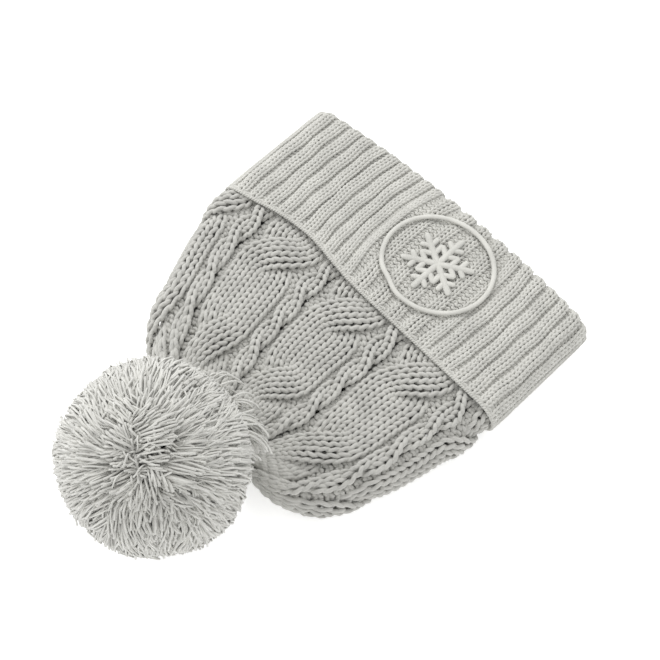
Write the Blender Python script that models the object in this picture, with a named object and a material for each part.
"""A knitted beanie with a turned-up rib cuff, a round emblem and a pom-pom.

The beanie lies flat on its back on z = 0, as on a table. +Y runs from the crown to the mouth,
+X across the width and +Z up. The origin is under the middle of the whole object. The fabric is
one flattened tube, so its pieces are lofts of flat-bottomed stadium sections.
"""

import math

import bmesh
import bpy
from mathutils import Matrix, Vector

MM = 0.001
GAP = 0.3 * MM

# Pom-pom and the tie that holds it
POMPOM_RADIUS = 54 * MM
TIE_REACH = 63 * MM
TIE_RADIUS = 1.5 * MM
KNOT_TAIL_RADIUS = 1.4 * MM
TIE_TO_TAIL = 0.5 * MM
CHANNEL_OVERSHOOT = 5 * MM
TIE_CHANNEL_RADIUS = 2.3 * MM
CORE_RADIUS = 9 * MM
BINDING_MAJOR_RADIUS = 5 * MM
BINDING_MINOR_RADIUS = 1.4 * MM
PIVOT_HEIGHT = 11.5 * MM
TIE_ELEVATION = math.asin((POMPOM_RADIUS - PIVOT_HEIGHT) / TIE_REACH)

# Hat
HAT_LENGTH = 205 * MM
CUFF_HALF_WIDTH = 114 * MM
CUFF_HEIGHT = 28 * MM
RIB_THICKNESS = 3.2 * MM
LAYER_SPACE = 1.1 * MM
TURN_UP_DEPTH = 80 * MM
MOUTH_BULGE = 8 * MM
EDGE_SLANT = 4.5 * MM
EDGE_BOW = 4.8 * MM
EDGE_BOW_X = -48 * MM
EDGE_BOW_WIDTH = 27 * MM
CORNER_DROP = 7 * MM
CORNER_DROP_START = 68 * MM
CORNER_DROP_END = 112 * MM
HEM_DEPTH = 12 * MM
BAND_DEPTH = 60 * MM
BODY_WALL = 4.5 * MM
BODY_TOP = 25 * MM
CROWN_OVERHANG = 15 * MM
NOTCH_WIDTH = 40 * MM
CROWN_SHIFT = 6 * MM
CROWN_LEAN = 8 * MM
LEAN_START = 24 * MM
LEAN_END = 88 * MM
GATHER_HOLE_RADIUS = 5.5 * MM
GATHER_INNER_RADIUS = 3.8 * MM
GATHER_CORD_RADIUS = 0.6 * MM
GATHER_RADIUS = 3.6 * MM
GATHER_DEPTH = 2.5 * MM
SETTLE_LENGTH = 20 * MM

# Emblem
EMBLEM_X = 21.5 * MM
EMBLEM_RADIUS = 32 * MM
EMBLEM_STRETCH = 1.097
EMBLEM_FROM_MOUTH = 34 * MM
RING_CORD_RADIUS = 1.3 * MM
ARM_RADIUS = 1.7 * MM
ARM_LENGTH = 21 * MM
BRANCH_AT = (7.5 * MM, 13.5 * MM)
BRANCH_LENGTH = (7 * MM, 5.5 * MM)
BACKING_RADIUS = 34 * MM
BACKING_THICKNESS = 0.5 * MM

# Inside
SEAM_RADIUS = 0.8 * MM
LABEL_SIZE = (22 * MM, 32 * MM, 0.6 * MM)
LABEL_FROM_SEAM = 2 * MM
LABEL_DEPTH = 40 * MM
STITCH_FROM_EDGE = 0.5 * MM
STITCH_STEPS = 10
STITCH_RADIUS = 0.25 * MM
STITCH_LENGTH = 3 * MM
KNOT_RADIUS = 4.5 * MM
KNOT_FROM_PIVOT = 14 * MM

# Places that follow from the sizes above
TOTAL_LENGTH = HAT_LENGTH + TIE_REACH * math.cos(TIE_ELEVATION) + POMPOM_RADIUS
MOUTH_PEAK_Y = TOTAL_LENGTH / 2
MOUTH_Y = MOUTH_PEAK_Y - MOUTH_BULGE
FREE_EDGE_Y = MOUTH_Y - TURN_UP_DEPTH
BAND_START_Y = MOUTH_Y - BAND_DEPTH
PIVOT = Vector((CROWN_SHIFT, MOUTH_PEAK_Y - HAT_LENGTH, PIVOT_HEIGHT))
TIE_DIRECTION = Vector((0, -math.cos(TIE_ELEVATION), math.sin(TIE_ELEVATION)))
POMPOM_CENTRE = PIVOT + TIE_REACH * TIE_DIRECTION
CROWN_END_Y = PIVOT.y - CROWN_OVERHANG
BAND_OFFSET = RIB_THICKNESS + LAYER_SPACE
BAND_INNER_OFFSET = BAND_OFFSET + RIB_THICKNESS
EMBLEM_CENTRE = Vector((EMBLEM_X, MOUTH_Y - EMBLEM_FROM_MOUTH, CUFF_HEIGHT))

YARN = (0.56, 0.555, 0.52, 1)
CUT_YARN = (0.72, 0.715, 0.675, 1)
TIE_YARN = (0.5, 0.495, 0.455, 1)
THREAD = (0.6, 0.595, 0.555, 1)
FELT = (0.75, 0.75, 0.74, 1)
SATIN = (0.82, 0.82, 0.80, 1)

# Points on one section: half a circle on each side, straight runs below and above
SIDE_STEPS = 8
RUN_STEPS = 12
BODY_STEPS = 16
SEAM_STOP = 7
FIRST_STATION = 1 * MM
SEAM_FROM_BAND = 5 * MM
CIRCLE_STEPS = 20


def clear_scene():
    for obj in list(bpy.data.objects):
        bpy.data.objects.remove(obj, do_unlink=True)


def new_collection(name, parent=None):
    collection = bpy.data.collections.new(name)
    (parent or bpy.context.scene.collection).children.link(collection)
    return collection


def new_material(name, colour, roughness):
    material = bpy.data.materials.new(name)
    material.use_nodes = True
    shader = material.node_tree.nodes["Principled BSDF"]
    shader.inputs["Base Color"].default_value = colour
    shader.inputs["Roughness"].default_value = roughness
    shader.inputs["Metallic"].default_value = 0
    return material


def smoothstep(low, high, value):
    t = min(max((value - low) / (high - low), 0), 1)
    return t * t * (3 - 2 * t)


def add_mesh_object(name, mesh_data, collection, material):
    obj = bpy.data.objects.new(name, mesh_data)
    mesh_data.materials.append(material)
    collection.objects.link(obj)
    mesh_data.shade_smooth()
    mesh_data.set_sharp_from_angle(angle=math.radians(40))
    return obj


def finish_bmesh(name, shape, collection, material):
    bmesh.ops.recalc_face_normals(shape, faces=shape.faces)
    mesh_data = bpy.data.meshes.new(name)
    shape.to_mesh(mesh_data)
    shape.free()
    return add_mesh_object(name, mesh_data, collection, material)


def stadium(half_width, low, high, y):
    """One section across the flattened tube, as points in order round it."""
    radius = min((high - low) / 2, half_width)
    middle = (low + high) / 2
    straight = half_width - radius
    points = []
    for side in (1, -1):
        for step in range(SIDE_STEPS + 1):
            angle = -math.pi / 2 + math.pi * step / SIDE_STEPS
            x = side * (straight + radius * math.cos(angle))
            points.append(Vector((x, y, middle + side * radius * math.sin(angle))))
        for step in range(1, RUN_STEPS):
            x = side * straight * (1 - 2 * step / RUN_STEPS)
            points.append(Vector((x, y, high if side > 0 else low)))
    return points


def closed_loft(name, rings, collection, material):
    """Joins each ring of points to the next and the last to the first, as one closed skin."""
    shape = bmesh.new()
    loops = [[shape.verts.new(point) for point in ring] for ring in rings]
    for index, loop in enumerate(loops):
        following = loops[(index + 1) % len(loops)]
        for here in range(len(loop)):
            there = (here + 1) % len(loop)
            shape.faces.new((loop[here], loop[there], following[there], following[here]))
    return finish_bmesh(name, shape, collection, material)


def cuff_point(point):
    """Bows the mouth outwards and slants the turn-up's free edge."""
    across = point.x / CUFF_HALF_WIDTH
    along = min(max((point.y - FREE_EDGE_Y) / TURN_UP_DEPTH, 0), 1)
    bow = MOUTH_BULGE * (1 - across * across) * along
    return Vector((point.x, point.y + bow - EDGE_SLANT * across * (1 - along), point.z))


def edge_bow(x, y):
    """How far the turn-up's free edge bows to the mouth, and drops at its -X corner."""
    along = min(max((y - FREE_EDGE_Y) / TURN_UP_DEPTH, 0), 1)
    bow = EDGE_BOW * math.exp(-(((x - EDGE_BOW_X) / EDGE_BOW_WIDTH) ** 2))
    drop = CORNER_DROP * smoothstep(CORNER_DROP_START, CORNER_DROP_END, -x)
    return (bow - drop) * (1 - along) ** 2


def cuff_ring(offset, y):
    """A section of the cuff, moved in from its outer face by the offset."""
    ring = stadium(CUFF_HALF_WIDTH - offset, offset, CUFF_HEIGHT - offset, y)
    points = [cuff_point(point) for point in ring]
    if offset <= RIB_THICKNESS:
        points = [point + Vector((0, edge_bow(point.x, y), 0)) for point in points]
    return points


def arc(centre_offset, centre_y, radius, start, end, steps):
    """Points (offset, y) along an arc, with angles from the outer side towards the mouth."""
    points = []
    for step in range(steps + 1):
        angle = math.radians(start + (end - start) * step / steps)
        points.append((centre_offset - radius * math.cos(angle), centre_y + radius * math.sin(angle)))
    return points


def make_turn_up_cuff(collection, material):
    fold_radius = BAND_INNER_OFFSET / 2
    fold_y = MOUTH_Y - fold_radius
    hem_y = MOUTH_Y - HEM_DEPTH
    middle_y = (FREE_EDGE_Y + fold_y) / 2
    edge = RIB_THICKNESS / 4
    profile = [(edge, FREE_EDGE_Y), (0, FREE_EDGE_Y + 2 * edge), (0, middle_y)]
    profile += arc(fold_radius, fold_y, fold_radius, 0, 180, 8)
    profile += [(BAND_INNER_OFFSET, hem_y), (BAND_OFFSET, hem_y)]
    profile += arc(fold_radius, fold_y, LAYER_SPACE / 2, 180, 0, 4)
    profile += [(RIB_THICKNESS, middle_y), (RIB_THICKNESS, FREE_EDGE_Y + 2 * edge)]
    profile += [(RIB_THICKNESS - edge, FREE_EDGE_Y)]
    rings = [cuff_ring(offset, y) for offset, y in profile]
    return closed_loft("turn_up_cuff", rings, collection, material)


def make_inner_band(collection, material):
    end_y = MOUTH_Y - HEM_DEPTH - GAP
    stations = [BAND_START_Y, (BAND_START_Y + end_y) / 2, end_y]
    rings = [cuff_ring(BAND_OFFSET, y) for y in stations]
    rings += [cuff_ring(BAND_INNER_OFFSET, y) for y in reversed(stations)]
    return closed_loft("inner_band", rings, collection, material)


def body_point(point):
    """Leans the crown to one side and draws its middle in to the gathered hole."""
    under_cuff = cuff_point(point).y - point.y if point.y > FREE_EDGE_Y else 0
    shift = CROWN_SHIFT * smoothstep(FREE_EDGE_Y, PIVOT.y, point.y)
    pull = smoothstep(FREE_EDGE_Y - CUFF_HALF_WIDTH / 2, CROWN_END_Y, point.y)
    notch = CROWN_OVERHANG * pull * math.exp(-((point.x / NOTCH_WIDTH) ** 2))
    notch -= CROWN_LEAN * pull * smoothstep(LEAN_START, LEAN_END, point.x)
    return Vector((point.x + shift, point.y + notch + under_cuff, point.z))


def body_section(y, wall):
    """Half width, low and high of the crown body, moved in from its outer face by the wall."""
    end_y = CROWN_END_Y + wall
    along = min(max((FREE_EDGE_Y - y) / (FREE_EDGE_Y - end_y), 0), 1)
    hole = GATHER_INNER_RADIUS if wall else GATHER_HOLE_RADIUS
    widest = CUFF_HALF_WIDTH - BAND_OFFSET - wall
    half_width = max(widest * (1 - along**1.5) ** (1 / 3), hole)
    settled = smoothstep(FREE_EDGE_Y, FREE_EDGE_Y - SETTLE_LENGTH, y)
    closing = math.sqrt(1 - along**4)
    low = BAND_OFFSET * (1 - settled) + wall
    high = CUFF_HEIGHT - BAND_OFFSET
    high += (BODY_TOP - high) * settled - wall
    low = PIVOT_HEIGHT - hole + (low - PIVOT_HEIGHT + hole) * closing
    high = PIVOT_HEIGHT + hole + (high - PIVOT_HEIGHT - hole) * closing
    return half_width, low, high


def body_stations(wall):
    """Where the sections of the body's outer face, or of its inner face, stand along Y."""
    end_y = CROWN_END_Y + wall
    stations = [BAND_START_Y - GAP, FREE_EDGE_Y + FIRST_STATION]
    for step in range(1, BODY_STEPS + 1):
        eased = 1 - (1 - step / BODY_STEPS) ** 2
        stations.append(FREE_EDGE_Y + (end_y - FREE_EDGE_Y) * eased)
    return stations


def body_rings(wall):
    rings = []
    for y in body_stations(wall):
        half_width, low, high = body_section(y, wall)
        rings.append([body_point(point) for point in stadium(half_width, low, high, y)])
    return rings


def make_crown_body(collection, material):
    rings = body_rings(0) + body_rings(BODY_WALL)[::-1]
    return closed_loft("crown_body", rings, collection, material)


def make_tube(name, points, radius, collection, material, cyclic=False):
    """A round tube along a list of points, as a curve object with filled caps."""
    curve = bpy.data.curves.new(name, "CURVE")
    curve.dimensions = "3D"
    curve.bevel_depth = radius
    curve.bevel_resolution = 2
    curve.use_fill_caps = not cyclic
    spline = curve.splines.new("POLY")
    spline.points.add(len(points) - 1)
    for place, point in zip(spline.points, points, strict=True):
        place.co = (*point, 1)
    spline.use_cyclic_u = cyclic
    obj = bpy.data.objects.new(name, curve)
    curve.materials.append(material)
    collection.objects.link(obj)
    return obj


def circle(centre, first, second, radius, steps):
    points = []
    for step in range(steps):
        angle = 2 * math.pi * step / steps
        points.append(centre + radius * (math.cos(angle) * first + math.sin(angle) * second))
    return points


def make_crown_gather(collection, material):
    """The yarn drawn through the last stitches, in the throat of the hole that it closes."""
    centre = PIVOT + Vector((0, GATHER_DEPTH, 0))
    points = circle(centre, Vector((1, 0, 0)), Vector((0, 0, 1)), GATHER_RADIUS, CIRCLE_STEPS)
    return make_tube("crown_gather", points, GATHER_CORD_RADIUS, collection, material, cyclic=True)


def make_back_seam(collection, material):
    """The joined edges of the fabric, as a low ridge along the inner face of the lower layer."""
    lift = GAP + SEAM_RADIUS
    points = []
    for y in reversed(body_stations(BODY_WALL)[:-SEAM_STOP]):
        floor = body_section(y, BODY_WALL)[1]
        points.append(body_point(Vector((0, y, floor + lift))))
    for y in (BAND_START_Y + SEAM_FROM_BAND, MOUTH_Y - HEM_DEPTH):
        points.append(cuff_point(Vector((0, y, BAND_INNER_OFFSET + lift))))
    return make_tube("back_seam", points, SEAM_RADIUS, collection, material)


def make_emblem_ring(collection, material):
    centre = EMBLEM_CENTRE + Vector((0, 0, GAP + RING_CORD_RADIUS))
    across = Vector((EMBLEM_STRETCH, 0, 0))
    points = circle(centre, across, Vector((0, 1, 0)), EMBLEM_RADIUS, 48)
    return make_tube("emblem_ring", points, RING_CORD_RADIUS, collection, material, cyclic=True)


def snowflake_strokes():
    """Start and end of each straight stroke: three bars through the middle and their branches."""
    centre = EMBLEM_CENTRE + Vector((0, 0, GAP + ARM_RADIUS))
    strokes = []
    for arm in range(6):
        turn = math.radians(60 * arm + 30)
        outward = Vector((math.cos(turn), math.sin(turn), 0))
        if arm < 3:
            strokes.append((centre - ARM_LENGTH * outward, centre + ARM_LENGTH * outward))
        for side in (1, -1):
            lean = turn + side * math.radians(60)
            branch = Vector((math.cos(lean), math.sin(lean), 0))
            for start, length in zip(BRANCH_AT, BRANCH_LENGTH, strict=True):
                root = centre + start * outward
                strokes.append((root, root + length * branch))
    return strokes


def make_emblem_snowflake(parts, cutters, material):
    """Six raised arms with two pairs of branches each, joined into one body."""
    rods = new_collection("snowflake_strokes", cutters)
    bars = snowflake_strokes()
    for index, (start, end) in enumerate(bars[1:]):
        as_cutter(rod_along(f"stroke_{index:02d}", start, end, ARM_RADIUS, rods, material, 12))
    emblem = rod_along("emblem_snowflake", *bars[0], ARM_RADIUS, parts, material, 12)
    modifier = emblem.modifiers.new("join_strokes", "BOOLEAN")
    modifier.operand_type = "COLLECTION"
    modifier.collection = rods
    modifier.operation = "UNION"
    modifier.solver = "EXACT"
    return emblem


def make_disc(name, centre, size, collection, material):
    """A flat disc with a size of radius, stretch along X and thickness."""
    radius, stretch, thickness = size
    shape = bmesh.new()
    place = Matrix.Translation(centre) @ Matrix.Diagonal((stretch, 1, 1, 1))
    bmesh.ops.create_cone(
        shape,
        cap_ends=True,
        segments=32,
        radius1=radius,
        radius2=radius,
        depth=thickness,
        matrix=place,
    )
    return finish_bmesh(name, shape, collection, material)


def make_emblem_backing(collection, material):
    depth = RIB_THICKNESS + LAYER_SPACE / 2
    centre = EMBLEM_CENTRE - Vector((0, 0, depth))
    size = (BACKING_RADIUS, EMBLEM_STRETCH, BACKING_THICKNESS)
    return make_disc("emblem_backing", centre, size, collection, material)


def label_corner():
    """The label's corner beside the seam, on the inner face of the lower layer."""
    x = SEAM_RADIUS + LABEL_FROM_SEAM
    y = MOUTH_Y - HEM_DEPTH - LABEL_DEPTH
    return Vector((x, y, BAND_INNER_OFFSET + GAP))


def make_care_label(collection, material):
    size = Vector(LABEL_SIZE)
    shape = bmesh.new()
    bmesh.ops.create_cube(shape, size=1)
    bmesh.ops.scale(shape, vec=size, verts=shape.verts)
    bmesh.ops.translate(shape, vec=label_corner() + size / 2, verts=shape.verts)
    return finish_bmesh("care_label", shape, collection, material)


def make_label_stitches(collection, material):
    """One zigzag of thread along the label's edge beside the seam."""
    lift = LABEL_SIZE[2] + GAP + STITCH_RADIUS
    start = label_corner() + Vector((STITCH_FROM_EDGE, 0, lift))
    points = []
    for step in range(STITCH_STEPS + 1):
        reach = STITCH_LENGTH * (step % 2)
        points.append(start + Vector((reach, LABEL_SIZE[1] * step / STITCH_STEPS, 0)))
    return make_tube("label_stitches", points, STITCH_RADIUS, collection, material)


def make_ball(name, centre, radius, collection, material, segments=40):
    shape = bmesh.new()
    bmesh.ops.create_uvsphere(
        shape, u_segments=segments, v_segments=segments // 2, radius=radius
    )
    obj = finish_bmesh(name, shape, collection, material)
    obj.location = centre
    return obj


def as_cutter(obj):
    obj.hide_render = True
    obj.display_type = "WIRE"


def add_boolean(obj, other, operation):
    modifier = obj.modifiers.new(operation.lower() + "_" + other.name, "BOOLEAN")
    modifier.object = other
    modifier.operation = operation
    modifier.solver = "EXACT"


def rod_along(name, start, end, radius, collection, material, segments=16):
    """A straight rod between two points, with its origin at the first."""
    shape = bmesh.new()
    axis = end - start
    bmesh.ops.create_cone(
        shape,
        cap_ends=True,
        segments=segments,
        radius1=radius,
        radius2=radius,
        depth=axis.length,
        matrix=Matrix.Translation((0, 0, axis.length / 2)),
    )
    obj = finish_bmesh(name, shape, collection, material)
    obj.rotation_mode = "QUATERNION"
    obj.rotation_quaternion = axis.to_track_quat("Z", "Y")
    obj.location = start
    return obj


def make_pompom(parts, cutters, material):
    """The ball, with a channel for the tie and a small hollow for the binding."""
    ball = make_ball("pompom_yarn", POMPOM_CENTRE, POMPOM_RADIUS, parts, material)
    core = make_ball("core_cutter", POMPOM_CENTRE, CORE_RADIUS, cutters, material, segments=16)
    outside = POMPOM_CENTRE - (POMPOM_RADIUS + CHANNEL_OVERSHOOT) * TIE_DIRECTION
    channel = rod_along(
        "channel_cutter", outside, POMPOM_CENTRE, TIE_CHANNEL_RADIUS, cutters, material
    )
    for cutter in (core, channel):
        as_cutter(cutter)
        add_boolean(ball, cutter, "DIFFERENCE")
    return ball


def make_pompom_binding(collection, material):
    side = Vector((1, 0, 0))
    points = circle(POMPOM_CENTRE, side, TIE_DIRECTION, BINDING_MAJOR_RADIUS, CIRCLE_STEPS)
    return make_tube(
        "pompom_binding", points, BINDING_MINOR_RADIUS, collection, material, cyclic=True
    )


def make_tie_neck(collection, material):
    clear = BINDING_MAJOR_RADIUS + BINDING_MINOR_RADIUS + GAP
    end = POMPOM_CENTRE - clear * TIE_DIRECTION
    return rod_along("tie_neck", PIVOT, end, TIE_RADIUS, collection, material)


def make_anchor_knot(parts, cutters, material):
    """The knot inside the crown, with the short tail that meets the tie in the hole."""
    centre = PIVOT + Vector((0, KNOT_FROM_PIVOT, 0))
    knot = make_ball("anchor_knot", centre, KNOT_RADIUS, parts, material, segments=16)
    tail_end = PIVOT + Vector((0, TIE_RADIUS + TIE_TO_TAIL, 0))
    tail = rod_along("tail_helper", centre, tail_end, KNOT_TAIL_RADIUS, cutters, material)
    as_cutter(tail)
    add_boolean(knot, tail, "UNION")
    return knot


def joint_empty(name, collection):
    """An empty at the gathered hole, which carries a moving piece."""
    empty = bpy.data.objects.new(name, None)
    empty.empty_display_size = 0.01
    empty.location = PIVOT
    collection.objects.link(empty)
    return empty


def hang_on(empty, obj):
    obj.parent = empty
    obj.matrix_parent_inverse = Matrix.Translation(empty.location).inverted()


def build():
    clear_scene()
    parts = new_collection("pompom_beanie")
    cutters = new_collection("cutters")
    yarn = new_material("knit_yarn", YARN, 0.9)
    pompom_yarn = new_material("pompom_yarn", CUT_YARN, 0.9)
    tie_yarn = new_material("tie_yarn", TIE_YARN, 0.9)
    thread = new_material("embroidery_thread", THREAD, 0.55)
    felt = new_material("backing_felt", FELT, 0.95)
    satin = new_material("label_satin", SATIN, 0.5)
    make_crown_body(parts, yarn)
    make_inner_band(parts, yarn)
    make_turn_up_cuff(parts, yarn)
    make_crown_gather(parts, tie_yarn)
    make_back_seam(parts, yarn)
    make_emblem_ring(parts, thread)
    make_emblem_snowflake(parts, cutters, thread)
    make_emblem_backing(parts, felt)
    make_care_label(parts, satin)
    make_label_stitches(parts, thread)
    swing = joint_empty("pompom_swing_axis", parts)
    lift = joint_empty("pompom_lift_axis", parts)
    twist = joint_empty("pompom_twist_axis", parts)
    hang_on(swing, make_anchor_knot(parts, cutters, tie_yarn))
    hang_on(lift, make_tie_neck(parts, tie_yarn))
    hang_on(twist, make_pompom(parts, cutters, pompom_yarn))
    hang_on(twist, make_pompom_binding(parts, tie_yarn))


build()
